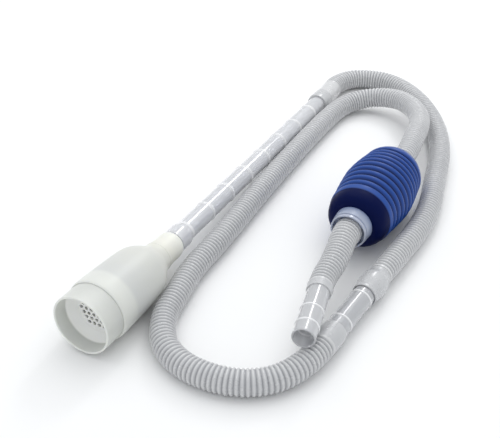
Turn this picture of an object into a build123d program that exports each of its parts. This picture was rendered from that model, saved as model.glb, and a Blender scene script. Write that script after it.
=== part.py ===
from build123d import *
import math
import os

# Gravel vacuum siphon laid on a flat surface: strainer, suction head, clear extension
# tube, corrugated hoses, squeeze bulb with two check valves, and clear outlet tube.
# Millimetres, +Z up, z = 0 is the surface the siphon lies on. Water runs from the head
# through the tube, hose 1, the connector, hose 2, the bulb, hose 3 and out of the
# outlet tube.

# ---------------------------------------------------------------- driving dimensions
SHIFT = (-3.417, -8.776)         # moves the layout so that the origin is under its middle

HOSE_OD = 20.0                 # corrugated hose over its ridges
HOSE_ID = 16.4
TUBE_OD = 17.5                 # clear rigid tubes
TUBE_ID = 14.9
RIB_H = 0.45                   # moulded rings round the clear tubes
RIB_W = 2.6

HEAD_AZ, HEAD_TILT = 60.86, -1.88
MOUTH = (-120.17, -171.66, 26.36)
HEAD_LEN = 119.75              # mouth to neck end
MOUTH_R = 24.1                 # strainer sleeve, outside
MOUTH_BORE_R = 22.5
COLLAR_LEN = 19.0              # of the strainer, ahead of the head's shell
BODY_R1, BODY_S1 = 25.66, 21.5 # widest ring of the head and where it is
BODY_R2, BODY_S2 = 23.9, 66.0  # end of the straight taper
HEAD_WALL = 1.6
NECK_R, NECK_TIP_R = 12.3, 10.7
NECK_BORE_R = 8.7
SLEEVE_LEN = 37.0
DISH_S, DISH_R = 18.5, 15.8    # depth and radius of the flat sieve in the strainer
SIEVE_HOLE_R, SIEVE_PITCH, SIEVE_T = 1.45, 4.4, 1.6

TUBE_END = (74.73, 202.61, 11.1)
PIVOT_INSIDE = 7.0             # the tube turns about a point this far inside the neck
SPIGOT_R = 7.9
STOP_R, STOP_END, CONE_END = 10.4, 20.0, 27.5
RIB_FIRST, RIB_STEP, RIB_COUNT = 61.6, 35.3, 7

CONN_START = (94.67, -106.49, 11.5)
CONN_AZ = -121.73
BELL_R = 11.45

BULB_FACE = (83.6, -53.2, 31.62)
BULB_AZ, BULB_TILT = 62.6, -0.5
BULB_LEN = 104.5
BULB_R, BULB_MID = 31.1, 52.0
BULB_WALL = 2.2
GROOVE_FIRST, GROOVE_STEP, GROOVE_COUNT, GROOVE_DEPTH = 19.5, 6.95, 10, 2.2
VALVE_PORT_R, FLAP_R = 5.0, 6.6
HINGE_Y, PIN_R, PIN_CLEAR = 8.0, 0.7, 0.05

OUTLET_START = (51.83, -132.6, 29.6)
OUTLET_AZ, OUTLET_TILT = -105.03, 0.35
OUTLET_VISIBLE = 58.2

# Corner points of the hoses' paths between their ends; the first and last corners are
# set by the fittings, at these distances from the end faces.
HOSE_1_FIRST, HOSE_1_LAST = 13.5, 36.0
HOSE_1 = [
    (90.6, 238.6, 10.2), (108.3, 253.6, 10.05), (131.5, 255.2, 10.0), (154.3, 242.9, 10.0),
    (172.5, 213.3, 10.0), (182.3, 176.1, 10.0), (185.3, 134.4, 10.0), (180.0, 90.0, 10.0),
    (168.0, 48.5, 10.0), (157.2, 4.9, 10.0), (140.4, -32.8, 10.1),
]
HOSE_2_FIRST, HOSE_2_LAST = 19.3, 21.7
HOSE_2 = [
    (18.2, -209.3, 10.1), (-11.0, -212.4, 10.0), (-42.1, -199.5, 10.0), (-61.7, -176.1, 10.0),
    (-65.3, -143.9, 10.0), (-55.9, -115.6, 10.0), (-46.0, -83.7, 10.0), (-26.3, -47.0, 10.0),
    (-5.2, -0.6, 10.0), (20.2, 53.4, 10.0), (47.4, 107.6, 10.0), (74.1, 158.2, 10.0),
    (96.7, 194.6, 10.1), (126.0, 203.0, 14.7), (152.0, 187.4, 20.6), (162.6, 160.7, 24.6),
    (165.4, 135.7, 27.4), (161.1, 110.6, 29.5), (152.0, 87.0, 30.5),
]
HOSE_3_FIRST, HOSE_3_LAST = 11.9, 12.4
HOSE_3 = [(69.2, -88.0, 30.7), (63.3, -104.0, 29.9)]


# ---------------------------------------------------------------- helpers
def unit(az, tilt):
    a, t = math.radians(az), math.radians(tilt)
    return Vector(math.cos(t) * math.cos(a), math.cos(t) * math.sin(a), math.sin(t))


def shifted(p):
    return Vector(p[0] + SHIFT[0], p[1] + SHIFT[1], p[2])


def along(origin, direction):
    """Plane whose Z runs along direction, X level and Y upwards."""
    side = Vector(0, 0, 1).cross(direction).normalized()
    return Plane(origin=origin, x_dir=side, z_dir=direction)


def turned(outline, radii, plane):
    """Solid of revolution about the plane's Z from (radius, station) corners.

    radii rounds each corner; 0 keeps it sharp."""
    path = FilletPolyline(*[(r, 0, s) for r, s in outline], radius=radii, close=True)
    return plane * revolve(make_face(path), Axis.Z, 360)


def ring(r_in, r_out, s0, s1, plane, edge=0.0):
    """Plain tube from station s0 to s1, with its outer corners rounded by edge."""
    return turned([(r_in, s0), (r_out, s0), (r_out, s1), (r_in, s1)], [0, edge, edge, 0], plane)


def ribs(r, stations):
    """Outline corners and rounding of low rings round a tube of radius r."""
    corners = []
    for s in stations:
        corners += [(r, s - RIB_W / 2), (r + RIB_H, s - RIB_W / 5), (r + RIB_H, s + RIB_W / 5), (r, s + RIB_W / 2)]
    return corners, [0.5, 0.3, 0.3, 0.5] * len(stations)


def route_radii(v):
    """Arc radius of each corner: 0.45 of the shorter run over the tangent of half the turn."""
    out = []
    for a, b, c in zip(v, v[1:], v[2:]):
        run = min((b - a).length, (c - b).length)
        turn = math.radians((b - a).get_angle(c - b))
        out.append(0.45 * run / math.tan(turn / 2))
    return out


def hose(name, start, start_dir, first, points, end, end_dir, last):
    """Plain tube along straight runs joined by tangent arcs, square to both fittings."""
    pts = [start, start + start_dir * first] + [shifted(p) for p in points] + [end - end_dir * last, end]
    radii = route_radii(pts)
    path = FilletPolyline(*pts, radius=radii)
    face_0 = Plane(origin=start, z_dir=start_dir)
    body = sweep(face_0 * Circle(HOSE_OD / 2), path=path) - sweep(face_0 * Circle(HOSE_ID / 2), path=path)
    section = math.pi * (HOSE_OD ** 2 - HOSE_ID ** 2) / 4
    print(name, "length %.1f" % path.length, "volume %.0f of %.0f" % (body.volume, section * path.length),
          "least radius %.1f" % min(radii))
    print("  radii", [round(r) for r in radii])
    print("  runs", [round((q - p).length, 1) for p, q in zip(pts, pts[1:])])
    print("  points", [tuple(round(c, 3) for c in p) for p in pts])
    return body


def write(name, shape):
    shape.label = name
    export_step(shape, os.path.join("parts", name + ".step"))


os.makedirs("parts", exist_ok=True)

# ---------------------------------------------------------------- suction head
head_dir = unit(HEAD_AZ, HEAD_TILT)
mouth = shifted(MOUTH)
neck_end = mouth + head_dir * HEAD_LEN
head = along(mouth, head_dir)      # stations count from the mouth

w = HEAD_WALL
head_body = turned(
    [(MOUTH_R + 0.08, COLLAR_LEN), (MOUTH_R + 0.6, COLLAR_LEN), (BODY_R1, BODY_S1),
     (BODY_R2, BODY_S2), (22.4, 77.0), (13.9, 91.5), (NECK_R, 97.4), (NECK_R + 0.35, 98.4),
     (NECK_R - 0.1, 99.4), (NECK_TIP_R, HEAD_LEN - 1.5), (NECK_TIP_R, HEAD_LEN), (NECK_BORE_R, HEAD_LEN),
     (NECK_BORE_R, 103.0), (11.4, 93.5), (20.6, 77.4), (BODY_R2 - w, BODY_S2 - 1.0),
     (MOUTH_R + 0.08, 45.0)],
    [0.2, 0.4, 1.6, 10.0, 8.0, 6.0, 0.4, 0.2, 0.4, 0.6, 1.2, 0.6, 1.5, 4.0, 6.0, 6.0, 0], head)
write("head_body", head_body)

# Strainer: sleeve that plugs into the mouth, dished floor and flat sieve, one moulding.
strainer = turned(
    [(MOUTH_BORE_R, 0), (MOUTH_R, 0), (MOUTH_R, SLEEVE_LEN), (MOUTH_R - 1.3, SLEEVE_LEN),
     (MOUTH_R - 1.5, 14.2), (DISH_R + 0.6, DISH_S + SIEVE_T), (0, DISH_S + SIEVE_T),
     (0, DISH_S), (DISH_R, DISH_S), (MOUTH_BORE_R, 12.0)],
    [0.7, 0.7, 0.4, 0.4, 0, 1.0, 0, 0, 1.6, 1.8], head)
holes = []
for i in range(-4, 5):
    for j in range(-4, 5):
        x, y = SIEVE_PITCH * (i + 0.5 * j), SIEVE_PITCH * j * math.sqrt(3) / 2
        if math.hypot(x, y) + SIEVE_HOLE_R <= DISH_R - 0.9:
            holes.append(head * Pos(x, y, DISH_S + SIEVE_T / 2) * Cylinder(SIEVE_HOLE_R, SIEVE_T * 3))
strainer = strainer - holes
write("strainer_cup", strainer)
print("sieve holes", len(holes))

# ---------------------------------------------------------------- extension tube
pivot = neck_end - head_dir * PIVOT_INSIDE
tube_end = shifted(TUBE_END)
tube_dir = (tube_end - pivot).normalized()
TUBE_LEN = (tube_end - pivot).length
tube = along(pivot, tube_dir)      # stations count from the turning point in the neck
ro, ri = TUBE_OD / 2, TUBE_ID / 2
rib_line, rib_round = ribs(ro, [RIB_FIRST + RIB_STEP * i for i in range(RIB_COUNT)])
extension_tube = turned(
    [(6.5, -7.0), (SPIGOT_R, -7.0), (SPIGOT_R, 7.7), (STOP_R, 7.7), (STOP_R, STOP_END), (ro, CONE_END)] +
    rib_line + [(ro, TUBE_LEN), (ri, TUBE_LEN), (ri, 14.0), (6.5, 8.0)],
    [0, 0.6, 0, 0.6, 3.0, 5.0] + rib_round + [0.5, 0.4, 1.0, 1.0], tube)
write("extension_tube", extension_tube)

# Smooth cuff of hose 1, stretched over the end of the tube.
cuff_end = TUBE_LEN + 4.0
hose_1_inlet_cuff = turned(
    [(ro, TUBE_LEN - 12.5), (10.4, TUBE_LEN - 12.5), (10.85, TUBE_LEN - 9.0), (10.6, cuff_end),
     (HOSE_ID / 2, cuff_end), (HOSE_ID / 2, TUBE_LEN), (ro, TUBE_LEN)],
    [0, 0.6, 1.5, 0, 0, 0, 0], tube)
write("hose_1_inlet_cuff", hose_1_inlet_cuff)

# ---------------------------------------------------------------- connector
conn_dir = unit(CONN_AZ, 0)
conn = along(shifted(CONN_START), conn_dir)
rib_line, rib_round = ribs(ro, [21.0, 53.0])
connector_tube = turned(
    [(ri, -9.0), (ro, -9.0)] + rib_line + [(ro, 74.0), (ri, 74.0)],
    [0.4, 0.5] + rib_round + [0.5, 0.4], conn)
write("connector_tube", connector_tube)

# Flared bell of hose 1 over the connector's upper end.
hose_1_outlet_bell = turned(
    [(HOSE_ID / 2, -14.0), (HOSE_OD / 2, -14.0), (HOSE_OD / 2, -8.0), (BELL_R, 1.0),
     (BELL_R, 7.0), (10.1, 13.0), (10.1, 15.0), (ro, 15.0), (ro, -9.0), (HOSE_ID / 2, -9.0)],
    [0, 0, 3.0, 4.0, 3.0, 1.5, 0.4, 0, 0, 0], conn)
write("hose_1_outlet_bell", hose_1_outlet_bell)

# Cuff of hose 2 over the connector's lower end.
hose_2_inlet_cuff = turned(
    [(ro, 62.5), (9.75, 62.5), (10.2, 66.0), (HOSE_OD / 2, 80.0), (HOSE_ID / 2, 80.0),
     (HOSE_ID / 2, 74.0), (ro, 74.0)],
    [0, 0.5, 1.5, 0, 0, 0, 0], conn)
write("hose_2_inlet_cuff", hose_2_inlet_cuff)

# ---------------------------------------------------------------- squeeze bulb
bulb_dir = unit(BULB_AZ, BULB_TILT)
face = shifted(BULB_FACE)
bulb = along(face, bulb_dir)       # stations q count from the outlet end's face


def crest(q):
    """Radius over the bands at station q: fullest near the middle."""
    if q < BULB_MID:
        return BULB_R - 4.0 * ((BULB_MID - q) / 35.0) ** 1.35
    return BULB_R - 2.9 * ((q - BULB_MID) / 26.0) ** 1.5


outer = [(13.2, 0.0), (16.6, 0.0), (23.2, 2.9), (26.1, 9.5), (26.6, 12.2), (crest(16.5), 16.8)]
outer_r = [0, 1.0, 6.0, 3.0, 1.0, 2.4]
inner = [(13.2, BULB_WALL), (16.0, BULB_WALL), (21.8, 5.0), (24.0, 12.0)]
inner_r = [0, 0.8, 3.0, 2.0]
for i in range(GROOVE_COUNT):
    q = GROOVE_FIRST + GROOVE_STEP * i
    groove = crest(q) - GROOVE_DEPTH
    outer.append((groove, q))
    outer_r.append(0.7)
    inner.append((groove - BULB_WALL, q))
    inner_r.append(1.0)
    if i < GROOVE_COUNT - 1:
        for f in (0.32, 0.68):
            outer.append((crest(q + GROOVE_STEP * f) + 0.15, q + GROOVE_STEP * f))
            outer_r.append(1.9)
        inner.append((crest(q + GROOVE_STEP / 2) - BULB_WALL - 0.4, q + GROOVE_STEP / 2))
        inner_r.append(1.0)
last = GROOVE_FIRST + GROOVE_STEP * (GROOVE_COUNT - 1)
L = BULB_LEN
outer += [(crest(last + 2.4), last + 2.2), (25.9, last + 7.6), (19.0, L - 4.0), (15.0, L), (12.2, L)]
outer_r += [1.6, 4.0, 6.0, 2.0, 0]
inner += [(23.5, last + 7.6), (17.0, L - 5.6), (14.4, L - 2.4), (12.2, L - 2.4)]
inner_r += [3.0, 4.0, 1.0, 0]
bulb_bellows = turned(outer + inner[::-1], outer_r + inner_r[::-1], bulb)
write("bulb_bellows", bulb_bellows)

# Outlet socket: collar and lip outside, sleeve inside the bulb's neck.
bulb_outlet_socket = turned(
    [(13.7, -12.4), (15.1, -12.4), (15.1, -9.9), (14.6, -9.6), (14.6, -9.0), (15.4, -8.6),
     (16.3, 0.0), (13.2, 0.0), (13.2, 11.0), (10.7, 11.0), (10.7, -1.0), (10.2, -1.0),
     (10.2, -6.5), (13.7, -6.5)],
    [0.4, 0.6, 0.3, 0.2, 0.2, 0.6, 0.5, 0, 0, 0, 0, 0.2, 0.6, 0.8], bulb)
write("bulb_outlet_socket", bulb_outlet_socket)

# Inlet socket: slim clear collar outside, sleeve inside the far neck.
bulb_inlet_socket = turned(
    [(10.2, L + 6.0), (12.9, L + 6.0), (13.4, L), (12.2, L), (12.2, L - 11.0), (10.7, L - 11.0),
     (10.7, L - 3.0), (10.2, L - 3.0)],
    [0.4, 0.8, 0.3, 0, 0, 0, 0, 0], bulb)
write("bulb_inlet_socket", bulb_inlet_socket)

# Smooth hose ends gripped in the two sockets.
hose_2_outlet_cuff = ring(HOSE_ID / 2, 10.2, L - 3.0, L + 5.0, bulb)
write("hose_2_outlet_cuff", hose_2_outlet_cuff)
hose_3_inlet_cuff = turned(
    [(HOSE_ID / 2, -9.0), (10.9, -9.0), (10.9, -7.2), (10.2, -6.6), (10.2, -1.0), (HOSE_ID / 2, -1.0)],
    [0, 0, 0.4, 0.3, 0, 0], bulb)
write("hose_3_inlet_cuff", hose_3_inlet_cuff)

# Check valves. Local Z is the way the water runs, towards the outlet end; the flap hangs
# from a pin across the top of its seat and swings downstream.
flow = bulb_dir * -1


def valve(name, seat_face_q, seat_r, hinge_z=1.5):
    plane = along(face + bulb_dir * seat_face_q, flow)    # origin on the seat's downstream face
    seat = ring(VALVE_PORT_R, seat_r, -2.0, 0.0, plane)
    lug_y = HINGE_Y + 0.1
    for x in (-3.6, 3.6):
        seat += plane * Pos(x, lug_y - 0.35, hinge_z - 0.2) * Box(1.2, 2.9, 3.6)
    hole = plane * Pos(0, HINGE_Y, hinge_z) * Rot(0, 90, 0) * Cylinder(PIN_R, 12.0)
    seat = seat - hole
    pin = plane * Pos(0, HINGE_Y, hinge_z) * Rot(0, 90, 0) * Cylinder(PIN_R, 8.6)
    disc = Pos(0, 0, 0.6) * Cylinder(FLAP_R, 1.0)
    dome = Pos(0, 0, 1.1) * Cylinder(3.0, 0.5)
    arm = Pos(0, (FLAP_R + HINGE_Y) / 2 - 0.6, 0.6) * Box(3.6, HINGE_Y - FLAP_R + 1.2, 1.0)
    barrel_ = Pos(0, HINGE_Y, hinge_z) * Rot(0, 90, 0) * Cylinder(1.35, 5.4)
    flap = disc + dome + arm + barrel_
    flap = flap - Pos(0, HINGE_Y, hinge_z) * Rot(0, 90, 0) * Cylinder(PIN_R + PIN_CLEAR, 12.0)
    flap = plane * flap
    write(name + "_valve_seat", seat)
    write(name + "_valve_pin", pin)
    write(name + "_valve_flap", flap)
    p = plane * Pos(0, HINGE_Y, hinge_z)
    print(name, "hinge at", tuple(round(c, 4) for c in p.position), "axis (opens with +angle)",
          tuple(round(-c, 6) for c in plane.x_dir))


valve("inlet", L - 13.0, 12.2)
valve("outlet", 11.0, 13.2)

# ---------------------------------------------------------------- outlet tube
out_dir = unit(OUTLET_AZ, OUTLET_TILT)
out = along(shifted(OUTLET_START), out_dir)
rib_line, rib_round = ribs(ro, [29.2, 45.9])
outlet_tube = turned(
    [(ri, 2.0), (ro, 2.0)] + rib_line + [(ro, OUTLET_VISIBLE), (ri, OUTLET_VISIBLE)],
    [0.4, 0.5] + rib_round + [0.7, 0.5], out)
write("outlet_tube", outlet_tube)
hose_3_outlet_cuff = turned(
    [(HOSE_ID / 2, 0.0), (HOSE_OD / 2, 0.0), (9.5, 6.5), (ro + 0.03, 6.5), (ro + 0.03, 1.9), (HOSE_ID / 2, 1.9)],
    [0, 0, 0.5, 0, 0, 0], out)
write("hose_3_outlet_cuff", hose_3_outlet_cuff)

# ---------------------------------------------------------------- hoses
write("hose_1", hose("hose_1", tube_end + tube_dir * 4.0, tube_dir, HOSE_1_FIRST, HOSE_1,
                     shifted(CONN_START) - conn_dir * 14.0, conn_dir, HOSE_1_LAST))
write("hose_2", hose("hose_2", shifted(CONN_START) + conn_dir * 80.0, conn_dir, HOSE_2_FIRST, HOSE_2,
                     face + bulb_dir * (L + 5.0), flow, HOSE_2_LAST))
write("hose_3", hose("hose_3", face - bulb_dir * 9.0, flow, HOSE_3_FIRST, HOSE_3,
                     shifted(OUTLET_START), out_dir, HOSE_3_LAST))

# ---------------------------------------------------------------- figures for the record
for label, p, d in (
    ("head axis at neck end", neck_end, head_dir), ("mouth", mouth, head_dir),
    ("tube pivot", pivot, tube_dir), ("bulb face", face, bulb_dir),
    ("outlet start", shifted(OUTLET_START), out_dir),
    ("outlet end", shifted(OUTLET_START) + out_dir * OUTLET_VISIBLE, out_dir),
    ("connector", shifted(CONN_START), conn_dir),
):
    print(label, tuple(round(c, 4) for c in p), tuple(round(c, 6) for c in d))
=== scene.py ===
import math

import bmesh
import bpy
import numpy as np
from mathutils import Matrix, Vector


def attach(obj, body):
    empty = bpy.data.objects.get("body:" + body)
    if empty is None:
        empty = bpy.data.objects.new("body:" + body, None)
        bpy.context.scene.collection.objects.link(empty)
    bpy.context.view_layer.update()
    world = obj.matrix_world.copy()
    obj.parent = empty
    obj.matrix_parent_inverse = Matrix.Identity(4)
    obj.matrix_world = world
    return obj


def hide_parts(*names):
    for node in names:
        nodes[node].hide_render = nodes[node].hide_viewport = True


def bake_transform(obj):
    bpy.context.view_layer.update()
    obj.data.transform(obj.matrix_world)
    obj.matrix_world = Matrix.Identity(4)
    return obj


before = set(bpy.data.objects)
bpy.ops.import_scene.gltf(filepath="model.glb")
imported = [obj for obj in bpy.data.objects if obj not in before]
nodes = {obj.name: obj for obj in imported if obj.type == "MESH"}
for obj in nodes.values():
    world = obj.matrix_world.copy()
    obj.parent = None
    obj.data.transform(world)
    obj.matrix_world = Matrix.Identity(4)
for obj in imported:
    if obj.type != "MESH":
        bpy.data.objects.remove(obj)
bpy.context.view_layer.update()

scene = bpy.context.scene
MM = 0.001

# ---------------------------------------------------------------- camera
cam_data = bpy.data.cameras.new("camera")
cam_data.sensor_fit = "HORIZONTAL"
cam_data.sensor_width = 36.0
cam_data.lens = 67.68
cam_data.clip_start = 0.01
camera = bpy.data.objects.new("camera", cam_data)
camera.location = (-0.003417, -0.684276, 0.466)
camera.rotation_euler = (math.radians(90 - 34.6), 0, 0)
scene.collection.objects.link(camera)
scene.camera = camera


# ---------------------------------------------------------------- materials
class Nodes:
    """A principled material whose pattern follows the piece."""

    def __init__(self, name):
        self.mat = bpy.data.materials.new(name)
        self.mat.use_nodes = True
        self.t = self.mat.node_tree
        self.bsdf = self.t.nodes["Principled BSDF"]
        self.coord = self.add("ShaderNodeTexCoord").outputs["Object"]

    def add(self, kind, **settings):
        n = self.t.nodes.new(kind)
        for k, v in settings.items():
            setattr(n, k, v)
        return n

    def link(self, a, b):
        self.t.links.new(a, b)

    def set(self, **values):
        for k, v in values.items():
            self.bsdf.inputs[k.replace("_", " ")].default_value = v

    def noise(self, scale, detail=3.0, rough=0.55, stretch=None):
        n = self.add("ShaderNodeTexNoise")
        n.inputs["Scale"].default_value = scale
        n.inputs["Detail"].default_value = detail
        n.inputs["Roughness"].default_value = rough
        if stretch is None:
            self.link(self.coord, n.inputs["Vector"])
        else:
            m = self.add("ShaderNodeMapping")
            m.inputs["Scale"].default_value = stretch
            self.link(self.coord, m.inputs["Vector"])
            self.link(m.outputs["Vector"], n.inputs["Vector"])
        return n.outputs["Fac"]

    def ramp(self, value, stops):
        r = self.add("ShaderNodeValToRGB")
        e = r.color_ramp.elements
        while len(e) < len(stops):
            e.new(0.5)
        for el, (p, c) in zip(e, stops):
            el.position = p
            el.color = (*c, 1.0) if len(c) == 3 else c
        self.link(value, r.inputs["Fac"])
        return r.outputs["Color"]

    def span(self, value, a, b, lo, hi):
        m = self.add("ShaderNodeMapRange")
        m.inputs["From Min"].default_value = a
        m.inputs["From Max"].default_value = b
        m.inputs["To Min"].default_value = lo
        m.inputs["To Max"].default_value = hi
        self.link(value, m.inputs["Value"])
        return m.outputs["Result"]

    def math(self, op, a, b=None):
        m = self.add("ShaderNodeMath", operation=op)
        for i, v in enumerate((a, b)):
            if v is None:
                continue
            if isinstance(v, (int, float)):
                m.inputs[i].default_value = v
            else:
                self.link(v, m.inputs[i])
        return m.outputs[0]

    def mix(self, mode, fac, a, b):
        m = self.add("ShaderNodeMix", data_type="RGBA", blend_type=mode)
        if isinstance(fac, (int, float)):
            m.inputs["Factor"].default_value = fac
        else:
            self.link(fac, m.inputs["Factor"])
        for i, v in ((6, a), (7, b)):
            if isinstance(v, tuple):
                m.inputs[i].default_value = (*v, 1.0)
            else:
                self.link(v, m.inputs[i])
        return m.outputs[2]

    def station(self, origin, direction):
        """Distance along an axis, in metres."""
        d = Vector(direction).normalized()
        v = self.add("ShaderNodeVectorMath", operation="DOT_PRODUCT")
        self.link(self.coord, v.inputs[0])
        v.inputs[1].default_value = d
        return self.math("SUBTRACT", v.outputs["Value"], float(Vector(origin).dot(d)))

    def bump(self, height, strength, distance):
        b = self.add("ShaderNodeBump")
        b.inputs["Strength"].default_value = strength
        b.inputs["Distance"].default_value = distance
        self.link(height, b.inputs["Height"])
        self.link(b.outputs["Normal"], self.bsdf.inputs["Normal"])

    def finish(self, colour, rough):
        self.link(colour, self.bsdf.inputs["Base Color"])
        self.link(rough, self.bsdf.inputs["Roughness"])
        return self.mat


MOUTH, HEAD_DIR = (-0.123587, -0.180436, 0.02636), (0.486683, 0.872962, -0.032806)
TUBE_AT, TUBE_DIR = (-0.0687135, -0.0820095, 0.0226611), (0.452333, 0.891067, -0.037346)
CONN_AT, CONN_DIR = (0.091253, -0.115266, 0.0115), (-0.525917, -0.850536, 0.0)
OUT_AT, OUT_DIR = (0.048413, -0.141376, 0.0296), (-0.25932, -0.965772, 0.006109)
BULB_AT, BULB_DIR = (0.080183, -0.061976, 0.03162), (0.460182, 0.887782, -0.008727)


def head_material():
    """Milky moulded shell, lighter where the strainer's sleeve stands behind it, creamier at the neck."""
    m = Nodes("milky_shell")
    s = m.span(m.station(MOUTH, HEAD_DIR), 0.0, 0.12, 0.0, 1.0)
    along = m.ramp(s, [
        (0.0, (0.74, 0.75, 0.71)), (0.17, (0.74, 0.75, 0.71)), (0.28, (0.73, 0.74, 0.70)),
        (0.31, (0.64, 0.65, 0.63)), (0.62, (0.66, 0.665, 0.63)), (0.76, (0.70, 0.70, 0.645)),
        (0.86, (0.80, 0.79, 0.72)), (1.0, (0.84, 0.84, 0.79))])
    cloud = m.ramp(m.noise(14.0, 2.0), [(0.3, (0.955, 0.96, 0.955)), (0.7, (1.0, 1.0, 0.995))])
    m.set(Subsurface_Weight=0.35, Subsurface_Radius=(0.006, 0.006, 0.005), Subsurface_Scale=0.4,
          IOR=1.5, Coat_Weight=0.05, Coat_Roughness=0.30)
    m.bump(m.noise(650.0, 2.0), 0.04, 0.0003)
    return m.finish(m.mix("MULTIPLY", 1.0, along, cloud), m.span(m.noise(90.0), 0.3, 0.7, 0.36, 0.46))


def strainer_material():
    """Milky moulding: light collar; inside, the wall is darkened grey above the dished floor by painted shade, and
    the floor is made pale by painted light, as if lit through the shell.
    """
    m = Nodes("milky_strainer")
    q = m.station(MOUTH, HEAD_DIR)
    s = m.span(q, 0.0, 0.04, 0.0, 1.0)
    along = m.ramp(s, [(0.0, (0.76, 0.77, 0.74)), (0.03, (0.68, 0.69, 0.66)), (0.45, (0.62, 0.63, 0.60)),
                       (0.50, (0.80, 0.81, 0.76)), (1.0, (0.80, 0.81, 0.76))])
    away = m.add("ShaderNodeVectorMath", operation="SUBTRACT")
    m.link(m.coord, away.inputs[0])
    away.inputs[1].default_value = MOUTH
    reach = m.add("ShaderNodeVectorMath", operation="DOT_PRODUCT")
    m.link(away.outputs[0], reach.inputs[0])
    m.link(away.outputs[0], reach.inputs[1])
    r = m.math("SQRT", m.math("SUBTRACT", reach.outputs["Value"], m.math("MULTIPLY", q, q)))
    inside = m.span(r, 0.0230, 0.0234, 1.0, 0.0)
    # painted shade darkens the inner wall grey above the floor; painted light makes the dished floor pale
    inner_wall_shade_floor_light = m.ramp(m.span(q, 0.0, 0.02, 0.0, 1.0), [
        (0.0, (0.78, 0.79, 0.76)), (0.08, (0.68, 0.69, 0.67)), (0.56, (0.62, 0.63, 0.61)),
        (0.62, (0.94, 0.94, 0.91)), (1.0, (0.96, 0.96, 0.93))])
    body = m.mix("MIX", inside, along, inner_wall_shade_floor_light)
    cloud = m.ramp(m.noise(40.0, 4.0), [(0.3, (0.94, 0.945, 0.94)), (0.7, (1.0, 1.0, 1.0))])
    m.set(Subsurface_Weight=0.3, Subsurface_Radius=(0.006, 0.006, 0.005), Subsurface_Scale=0.4,
          IOR=1.5, Coat_Weight=0.1, Coat_Roughness=0.25)
    m.bump(m.noise(700.0, 2.0), 0.04, 0.0003)
    return m.finish(m.mix("MULTIPLY", 1.0, body, cloud), m.span(m.noise(110.0), 0.3, 0.7, 0.30, 0.40))


def clear_material(name, at, direction, first, step, tint, body, wide=0.0030):
    """Clear rigid tube, slightly hazy, with paler rings where it is moulded thicker."""
    m = Nodes(name)
    s = m.station(at, direction)
    near = m.math("PINGPONG", m.math("SUBTRACT", s, first), step / 2)
    near = m.math("MAXIMUM", near, m.math("SUBTRACT", first - step / 2, s)) if wide < 0.003 else near
    ringed = m.ramp(m.span(near, 0.0, wide, 0.0, 1.0),
                    [(0.0, (0.985, 0.985, 0.99)), (0.60, (0.97, 0.97, 0.98)), (0.85, tint), (1.0, tint)])
    haze = m.ramp(m.noise(22.0, 3.0), [(0.3, (0.95, 0.955, 0.965)), (0.7, (1.0, 1.0, 1.0))])
    m.link(m.span(near, 0.27 * wide, 0.8 * wide, body - 0.22, body), m.bsdf.inputs["Transmission Weight"])
    m.set(IOR=1.40, Coat_Weight=0.9, Coat_Roughness=0.13)
    m.bump(m.noise(260.0, 2.0), 0.02, 0.0002)
    return m.finish(m.mix("MULTIPLY", 1.0, ringed, haze), m.span(m.noise(60.0), 0.3, 0.7, 0.16, 0.24))


def hose_material(name, body=0.22, smooth=False):
    """Translucent soft hose; darker down in the grooves and paler on the crests by painted shade and painted
    highlight, on top of the wall folding thicker in the grooves.
    """
    m = Nodes(name)
    cloud = m.ramp(m.noise(24.0, 4.0), [(0.28, (0.90, 0.905, 0.91)), (0.72, (1.0, 1.0, 1.0))])
    if smooth:
        base = m.ramp(m.noise(70.0, 2.0), [(0.2, (0.64, 0.645, 0.66)), (0.8, (0.72, 0.725, 0.735))])
    else:
        # painted shade: the groove colour is darker and the crest colour paler, following the crest attribute
        a = m.add("ShaderNodeAttribute", attribute_name="crest")
        base = m.ramp(a.outputs["Fac"], [(0.0, (0.36, 0.365, 0.385)), (0.45, (0.62, 0.625, 0.64)),
                                         (1.0, (0.80, 0.80, 0.805))])
    m.set(Transmission_Weight=body, IOR=1.38, Coat_Weight=0.35, Coat_Roughness=0.16)
    m.bump(m.noise(420.0, 3.0), 0.03, 0.0003)
    return m.finish(m.mix("MULTIPLY", 1.0, base, cloud), m.span(m.noise(80.0), 0.3, 0.7, 0.20, 0.32))


def bulb_material(name, tones, gloss, coat):
    """Satin blue rubbery plastic with a faint moulded grain, darker down in the grooves by painted shade and paler on
    the crests by painted highlight.
    """
    m = Nodes(name)
    a = m.add("ShaderNodeAttribute", attribute_name="crest")
    base = m.ramp(a.outputs["Fac"], tones)
    cloud = m.ramp(m.noise(45.0, 4.0), [(0.3, (0.86, 0.88, 0.93)), (0.7, (1.0, 1.0, 1.0))])
    m.set(IOR=1.5, Specular_IOR_Level=gloss, Coat_Weight=coat, Coat_Roughness=0.32)
    m.bump(m.noise(900.0, 3.0), 0.10, 0.0003)
    return m.finish(m.mix("MULTIPLY", 1.0, base, cloud), m.span(m.noise(160.0), 0.3, 0.7, 0.34, 0.46))


def socket_material():
    m = Nodes("pale_socket")
    s = m.span(m.station(BULB_AT, BULB_DIR), -0.013, 0.0, 0.0, 1.0)
    along = m.ramp(s, [(0.0, (0.62, 0.67, 0.80)), (0.22, (0.66, 0.70, 0.82)), (0.27, (0.30, 0.36, 0.55)),
                       (0.34, (0.55, 0.61, 0.76)), (0.8, (0.42, 0.49, 0.68)), (1.0, (0.22, 0.29, 0.52))])
    cloud = m.ramp(m.noise(60.0, 3.0), [(0.3, (0.92, 0.93, 0.95)), (0.7, (1.0, 1.0, 1.0))])
    m.set(Transmission_Weight=0.35, IOR=1.42, Coat_Weight=0.25, Coat_Roughness=0.12)
    m.bump(m.noise(500.0, 2.0), 0.05, 0.0004)
    return m.finish(m.mix("MULTIPLY", 1.0, along, cloud), m.span(m.noise(90.0), 0.3, 0.7, 0.16, 0.26))


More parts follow.
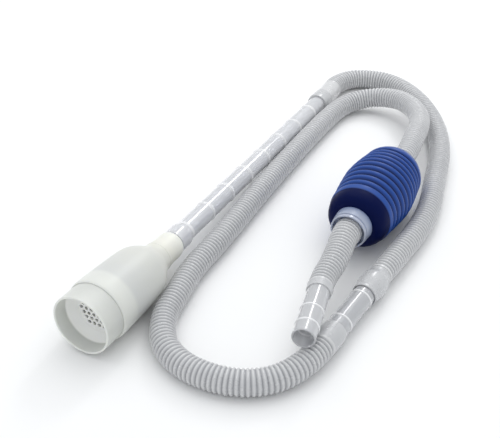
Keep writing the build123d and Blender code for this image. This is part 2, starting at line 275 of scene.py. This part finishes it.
def small_material(name, lo, hi, rough, through=0.0):
    m = Nodes(name)
    base = m.ramp(m.noise(120.0, 4.0), [(0.3, lo), (0.7, hi)])
    m.set(IOR=1.45, Transmission_Weight=through, Coat_Weight=0.1, Coat_Roughness=0.2)
    m.bump(m.noise(800.0, 2.0), 0.06, 0.0003)
    return m.finish(base, m.span(m.noise(200.0), 0.3, 0.7, rough, rough + 0.1))


tint = (0.92, 0.925, 0.95)
hose_ridged = hose_material("hose_ridged")
hose_smooth = hose_material("hose_smooth", body=0.22, smooth=True)
finishes = {
    "head_body": head_material(),
    "strainer_cup": strainer_material(),
    "extension_tube": clear_material("clear_tube", TUBE_AT, TUBE_DIR, 0.0616, 0.0353, tint, 0.46),
    "connector_tube": clear_material("clear_connector", CONN_AT, CONN_DIR, 0.021, 0.032, (0.73, 0.736, 0.757), 0.46, 0.0016),
    "outlet_tube": clear_material("clear_outlet", OUT_AT, OUT_DIR, 0.0292, 0.0167, (0.79, 0.794, 0.81), 0.46, 0.0016),
    "bulb_outlet_socket": socket_material(),
    "bulb_inlet_socket": small_material("far_socket", (0.78, 0.80, 0.84), (0.86, 0.88, 0.91), 0.18, 0.2),
    "valve": small_material("valve_body", (0.70, 0.71, 0.72), (0.80, 0.81, 0.82), 0.3),
    "flap": small_material("valve_flap", (0.50, 0.16, 0.10), (0.60, 0.21, 0.13), 0.45),
    "pin": small_material("valve_pin", (0.62, 0.63, 0.64), (0.72, 0.73, 0.74), 0.22),
}
for name, o in nodes.items():
    if name in finishes:
        mat = finishes[name]
    elif "cuff" in name or "bell" in name or name.startswith("hose"):
        mat = hose_smooth
    elif name.endswith("_flap"):
        mat = finishes["flap"]
    elif name.endswith("_pin"):
        mat = finishes["pin"]
    else:
        mat = finishes["valve"]
    if name == "bulb_bellows":
        continue
    if not o.material_slots:
        o.data.materials.append(mat)
    for slot in o.material_slots:
        slot.material = mat


# ---------------------------------------------------------------- hoses
def route(name, points):
    """Points read from a smooth line with these control points, and their distances along it."""
    data = bpy.data.curves.new(name + "_route", "CURVE")
    data.dimensions = "3D"
    data.resolution_u = 24
    spline = data.splines.new("NURBS")
    spline.points.add(len(points) - 1)
    for p, c in zip(spline.points, points):
        p.co = (*c, 1.0)
    spline.order_u = 3
    spline.use_endpoint_u = True
    holder = bpy.data.objects.new(name + "_route", data)
    scene.collection.objects.link(holder)
    bpy.context.view_layer.update()
    mesh = bpy.data.meshes.new_from_object(holder)
    line = np.array([v.co for v in mesh.vertices], float)
    bpy.data.objects.remove(holder)
    bpy.data.curves.remove(data)
    bpy.data.meshes.remove(mesh)
    step = np.linalg.norm(np.diff(line, axis=0), axis=1)
    line = line[np.concatenate([[True], step > 1e-7])]
    far = np.concatenate([[0.0], np.cumsum(np.linalg.norm(np.diff(line, axis=0), axis=1))])
    return line, far


def ridged_tube(name, points, radius, ridged, pitch=3.5, depth=1.15, wall=0.9, around=32, per=7):
    """Corrugated tube with a real wall: radius(s, length) in mm at distance s in mm,
    ridged(s, length) from 0, smooth, to 1, full ridges."""
    line, far = route(name, points)
    total = far[-1]
    length = total / MM
    turns = max(1, round(length / pitch))
    count = turns * per + 1
    s = np.linspace(0.0, total, count)
    centre = np.stack([np.interp(s, far, line[:, i]) for i in range(3)], 1)
    ahead = np.gradient(centre, axis=0)
    soft = ahead.copy()
    for _ in range(3):
        soft[1:-1] = (soft[:-2] + 2 * soft[1:-1] + soft[2:]) / 4
    ahead = soft / np.linalg.norm(soft, axis=1, keepdims=True)
    side = np.zeros_like(ahead)
    side[0] = np.cross(ahead[0], (0, 0, 1))
    side[0] /= np.linalg.norm(side[0])
    for i in range(1, count):
        v = side[i - 1] - ahead[i] * np.dot(side[i - 1], ahead[i])
        side[i] = v / np.linalg.norm(v)
    up = np.cross(side, ahead)
    sm = s / MM
    phase = 0.5 - 0.5 * np.cos(2 * math.pi * sm / (length / turns))
    crest = phase ** 0.62
    amount = np.array([ridged(x, length) for x in sm])
    base = np.array([radius(x, length) for x in sm])
    outer = (base - depth * amount * (1 - crest)) * MM
    inner = outer - wall * MM
    # look runs from 0 down in the grooves to 1 on the crests; the ridged hose material paints shade in the grooves by
    # it
    look = 1 - amount * (1 - crest)
    ang = np.linspace(0, 2 * math.pi, around, endpoint=False)
    spin = np.cos(ang)[None, :, None] * side[:, None, :] + np.sin(ang)[None, :, None] * up[:, None, :]
    shells = [centre[:, None, :] + spin * r[:, None, None] for r in (outer, inner)]
    verts = np.concatenate([x.reshape(-1, 3) for x in shells])
    faces = []
    off = count * around
    for i in range(count - 1):
        for j in range(around):
            k = (j + 1) % around
            a, b, c, d = i * around + j, i * around + k, (i + 1) * around + k, (i + 1) * around + j
            faces.append((a, b, c, d))
            faces.append((off + d, off + c, off + b, off + a))
    for j in range(around):
        k = (j + 1) % around
        faces.append((j, off + j, off + k, k))
        e = (count - 1) * around
        faces.append((e + k, off + e + k, off + e + j, e + j))
    mesh = bpy.data.meshes.new(name)
    mesh.from_pydata(verts.tolist(), [], faces)
    look_at = mesh.attributes.new("crest", "FLOAT", "POINT")
    look_at.data.foreach_set("value", np.tile(np.repeat(look, around), 2).astype(np.float32))
    bm = bmesh.new()
    bm.from_mesh(mesh)
    bmesh.ops.recalc_face_normals(bm, faces=bm.faces)
    bm.to_mesh(mesh)
    bm.free()
    mesh.polygons.foreach_set("use_smooth", [True] * len(mesh.polygons))
    piece = bpy.data.objects.new(name, mesh)
    scene.collection.objects.link(piece)
    piece.data.materials.append(hose_ridged)
    return piece, line.tolist(), total


def turned(name, outline, at, direction, around, levels):
    """Closed shell turned about an axis, subdivided, with its outline's third figure kept as "crest"."""
    d = Vector(direction).normalized()
    x = Vector((0, 0, 1)).cross(d).normalized()
    y = d.cross(x)
    verts, look = [], []
    for r, q, c in outline:
        for j in range(around):
            a = 2 * math.pi * j / around
            verts.append(Vector(at) + d * q * MM + (x * math.cos(a) + y * math.sin(a)) * r * MM)
            look.append(c)
    n, faces = len(outline), []
    for i in range(n):
        for j in range(around):
            k, m = (j + 1) % around, (i + 1) % n
            faces.append((i * around + j, i * around + k, m * around + k, m * around + j))
    mesh = bpy.data.meshes.new(name)
    mesh.from_pydata([tuple(v) for v in verts], [], faces)
    mesh.attributes.new("crest", "FLOAT", "POINT").data.foreach_set("value", np.array(look, np.float32))
    bm = bmesh.new()
    bm.from_mesh(mesh)
    bmesh.ops.recalc_face_normals(bm, faces=bm.faces)
    bm.to_mesh(mesh)
    bm.free()
    piece = bpy.data.objects.new(name, mesh)
    scene.collection.objects.link(piece)
    if levels:
        mod = piece.modifiers.new("smooth", "SUBSURF")
        mod.levels = mod.render_levels = levels
        bpy.context.view_layer.update()
        done = bpy.data.meshes.new_from_object(piece.evaluated_get(bpy.context.evaluated_depsgraph_get()))
        piece.modifiers.clear()
        piece.data = done
        bpy.data.meshes.remove(mesh)
        done.name = name
    piece.data.polygons.foreach_set("use_smooth", [True] * len(piece.data.polygons))
    return piece


def ease(x, a, b):
    t = min(1.0, max(0.0, (x - a) / (b - a)))
    return t * t * (3 - 2 * t)


HOSE_1 = [
    (0.073122, 0.197398, 0.010951), (0.079229, 0.209428, 0.010446), (0.087183, 0.229824, 0.0102),
    (0.104883, 0.244824, 0.01005), (0.128083, 0.246424, 0.01), (0.150883, 0.234124, 0.01),
    (0.169083, 0.204524, 0.01), (0.178883, 0.167324, 0.01), (0.181883, 0.125624, 0.01),
    (0.176583, 0.081224, 0.01), (0.164583, 0.039724, 0.01), (0.153783, -0.003876, 0.01),
    (0.136983, -0.041576, 0.0101), (0.117549, -0.072739, 0.0115), (0.098616, -0.103358, 0.0115)]
HOSE_2 = [
    (0.04918, -0.183309, 0.0115), (0.039029, -0.199724, 0.0115), (0.014783, -0.218076, 0.0101),
    (-0.014417, -0.221176, 0.01), (-0.045517, -0.208276, 0.01), (-0.065117, -0.184876, 0.01),
    (-0.068717, -0.152676, 0.01), (-0.059317, -0.124376, 0.01), (-0.049417, -0.092476, 0.01),
    (-0.029717, -0.055776, 0.01), (-0.008617, -0.009376, 0.01), (0.016783, 0.044624, 0.01),
    (0.043983, 0.098824, 0.01), (0.070683, 0.149424, 0.01), (0.093283, 0.185824, 0.0101),
    (0.122583, 0.194224, 0.0147), (0.148583, 0.178624, 0.0206), (0.159183, 0.151924, 0.0246),
    (0.161983, 0.126924, 0.0274), (0.157683, 0.101824, 0.0295), (0.148583, 0.078224, 0.0305),
    (0.140559, 0.054501, 0.030475), (0.130573, 0.035236, 0.030664)]
HOSE_3 = [
    (0.076041, -0.069966, 0.031699), (0.070565, -0.080531, 0.031802), (0.065783, -0.096776, 0.0307),
    (0.059883, -0.112776, 0.0299), (0.051629, -0.1294, 0.029524), (0.048413, -0.141376, 0.0296)]

BELL = [(9.55, -14.0), (9.55, -12.0), (9.6, -9.8), (10.1, -7.8), (11.1, -5.2), (11.47, -3.0), (11.47, 0.0), (11.47, 3.0),
        (11.25, 5.4), (10.5, 9.2), (10.1, 11.5), (10.05, 13.0), (10.1, 14.4), (9.9, 15.0), (9.1, 15.0), (8.85, 14.5),
        (8.85, 3.0), (8.85, -8.6), (8.4, -9.2), (8.35, -12.0), (8.35, -14.0)]
bell = turned("hose_1_bell", [(r, t, 0.8) for r, t in BELL], CONN_AT, CONN_DIR, 32, 2)
bell.data.materials.append(hose_smooth)
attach(bell, "root")
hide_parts("hose_1_outlet_bell")

HEAD = [(24.18, 19.0), (24.5, 19.0), (24.8, 19.05), (25.35, 20.1), (25.66, 21.6), (25.55, 25.0), (25.0, 40.0), (24.35, 55.0),
        (23.95, 64.0), (23.5, 70.0), (22.5, 75.6), (20.6, 80.2), (17.8, 84.8), (15.2, 88.8), (13.5, 92.6), (12.75, 95.8),
        (12.5, 97.3), (12.5, 97.9), (12.8, 98.4), (12.5, 98.9), (12.2, 99.6), (11.95, 102.5), (11.6, 106.5), (11.55, 109.5),
        (11.65, 112.5), (11.55, 115.5), (11.2, 118.0), (10.7, 119.5), (10.1, 119.75), (9.3, 119.75), (8.75, 119.3),
        (8.7, 117.0), (8.7, 110.0), (8.8, 103.0), (9.8, 99.0), (11.6, 93.8), (14.4, 88.4), (18.2, 82.2), (20.5, 77.4),
        (21.8, 72.0), (22.3, 65.0), (23.2, 55.0), (24.1, 46.5), (24.18, 44.0), (24.18, 32.0), (24.18, 21.0)]
shell = turned("suction_head", [(r, q, 0.8) for r, q in HEAD], MOUTH, HEAD_DIR, 48, 2)
shell.data.materials.append(finishes["head_body"])
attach(shell, "head")
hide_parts("head_body")

hose_1, path_1, long_1 = ridged_tube(
    "hose_1_ridged", HOSE_1,
    lambda x, l: 10.0 + 0.55 * (1 - ease(x, 0, 22)) - 0.45 * ease(x, l - 14, l),
    lambda x, l: ease(x, 23, 29) * (1 - ease(x, l - 4, l - 1)))
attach(hose_1, "root")
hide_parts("hose_1")

hose_2, path_2, long_2 = ridged_tube(
    "hose_2_ridged", HOSE_2,
    lambda x, l: 10.0,
    lambda x, l: ease(x, 1, 4) * (1 - ease(x, l - 3, l - 0.5)))
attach(hose_2, "root")
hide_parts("hose_2")

hose_3, path_3, long_3 = ridged_tube(
    "hose_3_ridged", HOSE_3,
    lambda x, l: 11.4 - 0.7 * ease(x, 0, 30) - 1.0 * ease(x, 30, l),
    lambda x, l: ease(x, 0, 2) * (1 - ease(x, l - 4, l - 1)))
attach(hose_3, "outlet_end")
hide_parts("hose_3")


# ---------------------------------------------------------------- squeeze bulb
def crest_at(q):
    if q < 52:
        return 31.1 - 4.0 * ((52 - q) / 35) ** 1.35
    return 31.1 - 2.9 * ((q - 52) / 26) ** 1.5


LENGTH = 104.5
# third figure: 0 down in the grooves, up to 1 on the crests; the blue material paints shade and highlight by it
outline = [(13.3, 0.0, 0), (14.6, -0.02, 0), (16.4, 0.0, 0), (20.4, 1.1, 0), (23.4, 3.0, 0), (25.3, 6.4, 0),
           (26.1, 9.6, 0), (26.35, 12.0, 0), (26.75, 12.6, 0.3), (27.1, 13.2, 1), (27.6, 15.2, 1),
           (27.9, 17.4, 0.9), (27.2, 18.5, 0.5)]
for i in range(10):
    q = 19.5 + 6.95 * i
    low = crest_at(q) - 2.5
    outline += [(low + 0.5, q - 0.45, 0.1), (low, q, 0.0), (low + 0.5, q + 0.45, 0.1)]
    if i < 9:
        for f, d in ((0.19, -0.75), (0.34, 0.15), (0.5, 0.35), (0.66, 0.15), (0.81, -0.75)):
            outline.append((crest_at(q + 6.95 * f) + d, q + 6.95 * f, 0.55 if d < 0 else 1.0))
outline += [(27.2, 83.3, 0.6), (27.6, 84.6, 1), (27.4, 86.6, 1), (26.2, 89.6, 1), (24.0, 94.0, 1), (20.6, 98.6, 1),
            (17.6, 101.8, 1), (15.4, 104.2, 0.9), (14.6, 104.5, 0.8), (12.3, 104.5, 0.6)]
outline += [(12.3, 102.2, 0.3), (14.4, 101.4, 0.3), (17.0, 98.6, 0.3), (22.0, 91.0, 0.3)]
outline += [(crest_at(q) - 5.0, q, 0.3) for q in (80.0, 70.0, 60.0, 50.0, 40.0, 30.0, 20.0)]
outline += [(22.5, 10.0, 0.3), (20.6, 5.6, 0.3), (16.0, 2.6, 0.3), (13.3, 2.4, 0.3)]


bulb = turned("squeeze_bulb", outline, BULB_AT, BULB_DIR, 40, 2)
# painted shade in the grooves and painted highlight on the crests, through this ramp of tones
bulb.data.materials.append(bulb_material(
    "blue_bands", [(0.0, (0.0025, 0.008, 0.058)), (0.35, (0.004, 0.027, 0.155)), (0.75, (0.007, 0.052, 0.262)),
                   (1.0, (0.011, 0.066, 0.310))], 0.30, 0.04))
# the near cap gets a darker copy of the blue: painted shade, where it faces away from the light
bulb.data.materials.append(bulb_material(
    "navy_cap_painted_shade", [(0.0, (0.0012, 0.005, 0.050)), (1.0, (0.003, 0.011, 0.095))], 0.06, 0.0))
# faces within 12.3 mm of the near end take the darker, painted-shade cap material
span = Vector(BULB_DIR).normalized()
for face in bulb.data.polygons:
    if (face.center - Vector(BULB_AT)).dot(span) < 12.3 * MM:
        face.material_index = 1
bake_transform(bulb)
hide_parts("bulb_bellows")

# ---------------------------------------------------------------- floor and light
bpy.ops.mesh.primitive_plane_add(size=6.0, location=(0, 0, 0))
floor = bpy.context.object
floor.name = "floor"
m = Nodes("pale_floor")
m.set(IOR=1.45, Specular_IOR_Level=0.1)
floor.data.materials.append(m.finish(
    m.ramp(m.noise(3.0, 2.0), [(0.3, (0.90, 0.90, 0.90)), (0.7, (0.92, 0.92, 0.92))]),
    m.span(m.noise(8.0), 0.3, 0.7, 0.75, 0.85)))

world = bpy.data.worlds.new("studio")
world.use_nodes = True
world.node_tree.nodes["Background"].inputs["Color"].default_value = (0.96, 0.98, 1.0, 1.0)
world.node_tree.nodes["Background"].inputs["Strength"].default_value = 0.84
scene.world = world


def softbox(name, place, target, size, power, colour=(1, 1, 1)):
    data = bpy.data.lights.new(name, "AREA")
    data.shape = "RECTANGLE"
    data.size, data.size_y = size
    data.energy = power
    data.color = colour
    light = bpy.data.objects.new(name, data)
    light.location = place
    light.rotation_euler = (Vector(target) - Vector(place)).to_track_quat("-Z", "Y").to_euler()
    scene.collection.objects.link(light)


softbox("key", (0.42, 1.05, 0.98), (0.05, 0.03, 0), (0.22, 0.34), 2.6)
softbox("top", (0.05, 0.45, 1.4), (0, 0.1, 0), (2.0, 1.6), 9.5)
scene.view_settings.view_transform = "Standard"
